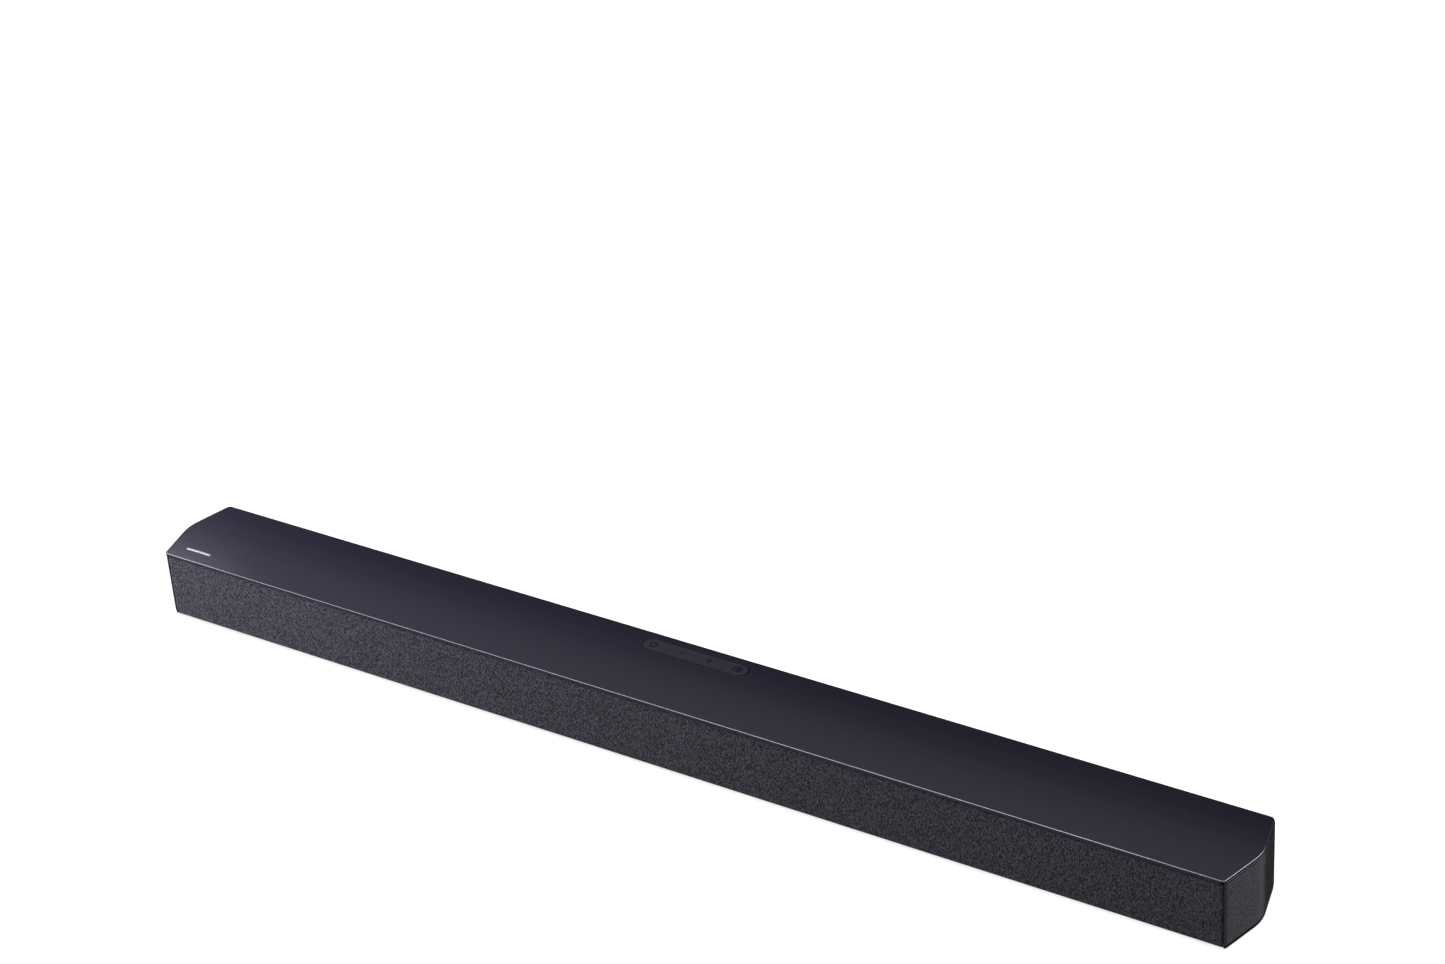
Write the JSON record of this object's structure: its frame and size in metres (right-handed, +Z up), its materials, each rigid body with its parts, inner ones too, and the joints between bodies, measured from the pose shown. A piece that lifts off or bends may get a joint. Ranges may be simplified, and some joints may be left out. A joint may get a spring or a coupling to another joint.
{
  "type": "soundbar",
  "caption": "Slim soundbar with pointed ribbed end caps, a cloth front grille, a top key pad, a rear connector recess and inserts for wall mounting.",
  "frame": {"origin": "on the surface the bar stands on, under the middle of its length and depth", "axes": "+X along the length to the listener's right, +Y back towards the wall, +Z up"},
  "size_m": [0.86, 0.074, 0.0543],
  "materials": {
    "cover_abs": "satin moulded ABS with a fine brushed grain",
    "badge_aluminium": "polished",
    "cabinet_abs": "fine spark-eroded texture",
    "cap_abs": "satin, finely ribbed",
    "baffle_abs": "matt",
    "grille_cloth": "melange polyester weave",
    "foot_rubber": "matt",
    "panel_abs": "matt",
    "socket_nylon": "satin",
    "socket_steel": "plated",
    "circuit_board": "solder mask",
    "heatsink_aluminium": "extruded",
    "capacitor_can": "sleeved can",
    "switch_steel": "plated",
    "receiver_epoxy": "dark epoxy",
    "led_epoxy": "clear epoxy",
    "insert_brass": "turned",
    "screw_steel": "black zinc",
    "ribbon_polyester": "film",
    "lead_pvc": "satin PVC",
    "basket_steel": "black paint",
    "ferrite": "ground ferrite and zinc-plated steel",
    "surround_rubber": "butyl",
    "spider_cloth": "resin-dipped cotton",
    "cone_paper": "pressed paper pulp",
    "coil_copper": "enamelled copper on a former",
    "key_abs": "fine matt texture",
    "plunger_nylon": "satin"
  },
  "bodies": {
    "case": {"top_cover": "cover_abs", "badge": "badge_aluminium", "cabinet": "cabinet_abs", "end_cap_left": "cap_abs", "end_cap_right": "cap_abs", "front_baffle": "baffle_abs", "grille_frame": "baffle_abs", "grille_cloth": "grille_cloth", "rubber_feet": "foot_rubber", "jack_panel": "panel_abs", "dc_inlet": "socket_nylon", "usb_socket": "socket_steel", "hdmi_socket": "socket_steel", "optical_socket": "socket_nylon", "main_board": "circuit_board", "key_board": "circuit_board", "sensor_board": "circuit_board", "amplifier_heatsink": "heatsink_aluminium", "capacitors": "capacitor_can", "tact_switches": "switch_steel", "ir_receiver": "receiver_epoxy", "status_leds": "led_epoxy", "wall_mount_inserts": "insert_brass", "case_screws": "screw_steel", "driver_screws": "screw_steel", "board_screws": "screw_steel", "key_ribbon": "ribbon_polyester", "speaker_leads": "lead_pvc", "outer_left_basket": "basket_steel", "outer_left_motor": "ferrite", "outer_left_surround": "surround_rubber", "outer_left_spider": "spider_cloth", "inner_left_basket": "basket_steel", "inner_left_motor": "ferrite", "inner_left_surround": "surround_rubber", "inner_left_spider": "spider_cloth", "inner_right_basket": "basket_steel", "inner_right_motor": "ferrite", "inner_right_surround": "surround_rubber", "inner_right_spider": "spider_cloth", "outer_right_basket": "basket_steel", "outer_right_motor": "ferrite", "outer_right_surround": "surround_rubber", "outer_right_spider": "spider_cloth"},
    "power_button": {"power_key": "key_abs", "power_plunger": "plunger_nylon"},
    "volume_down_button": {"volume_down_key": "key_abs", "volume_down_plunger": "plunger_nylon"},
    "volume_up_button": {"volume_up_key": "key_abs", "volume_up_plunger": "plunger_nylon"},
    "source_button": {"source_key": "key_abs", "source_plunger": "plunger_nylon"},
    "outer_left_diaphragm": {"outer_left_cone": "cone_paper", "outer_left_voice_coil": "coil_copper"},
    "inner_left_diaphragm": {"inner_left_cone": "cone_paper", "inner_left_voice_coil": "coil_copper"},
    "inner_right_diaphragm": {"inner_right_cone": "cone_paper", "inner_right_voice_coil": "coil_copper"},
    "outer_right_diaphragm": {"outer_right_cone": "cone_paper", "outer_right_voice_coil": "coil_copper"}
  },
  "joints": [
    {"name": "power_press", "type": "slide", "parent": "case", "child": "power_button", "axis": [0, 0, -1], "range_m": [0, 0.0005], "stiffness_N_per_m": 800, "springref_m": -0.0004},
    {"name": "volume_down_press", "type": "slide", "parent": "case", "child": "volume_down_button", "axis": [0, 0, -1], "range_m": [0, 0.0005], "stiffness_N_per_m": 800, "springref_m": -0.0004},
    {"name": "volume_up_press", "type": "slide", "parent": "case", "child": "volume_up_button", "axis": [0, 0, -1], "range_m": [0, 0.0005], "stiffness_N_per_m": 800, "springref_m": -0.0004},
    {"name": "source_press", "type": "slide", "parent": "case", "child": "source_button", "axis": [0, 0, -1], "range_m": [0, 0.0005], "stiffness_N_per_m": 800, "springref_m": -0.0004},
    {"name": "outer_left_cone_travel", "type": "slide", "parent": "case", "child": "outer_left_diaphragm", "axis": [0, -1, 0], "range_m": [-0.0015, 0.0015], "stiffness_N_per_m": 1500, "deforming": ["outer_left_surround", "outer_left_spider"]},
    {"name": "inner_left_cone_travel", "type": "slide", "parent": "case", "child": "inner_left_diaphragm", "axis": [0, -1, 0], "range_m": [-0.0015, 0.0015], "stiffness_N_per_m": 1500, "deforming": ["inner_left_surround", "inner_left_spider"]},
    {"name": "inner_right_cone_travel", "type": "slide", "parent": "case", "child": "inner_right_diaphragm", "axis": [0, -1, 0], "range_m": [-0.0015, 0.0015], "stiffness_N_per_m": 1500, "deforming": ["inner_right_surround", "inner_right_spider"]},
    {"name": "outer_right_cone_travel", "type": "slide", "parent": "case", "child": "outer_right_diaphragm", "axis": [0, -1, 0], "range_m": [-0.0015, 0.0015], "stiffness_N_per_m": 1500, "deforming": ["outer_right_surround", "outer_right_spider"]}
  ]
}
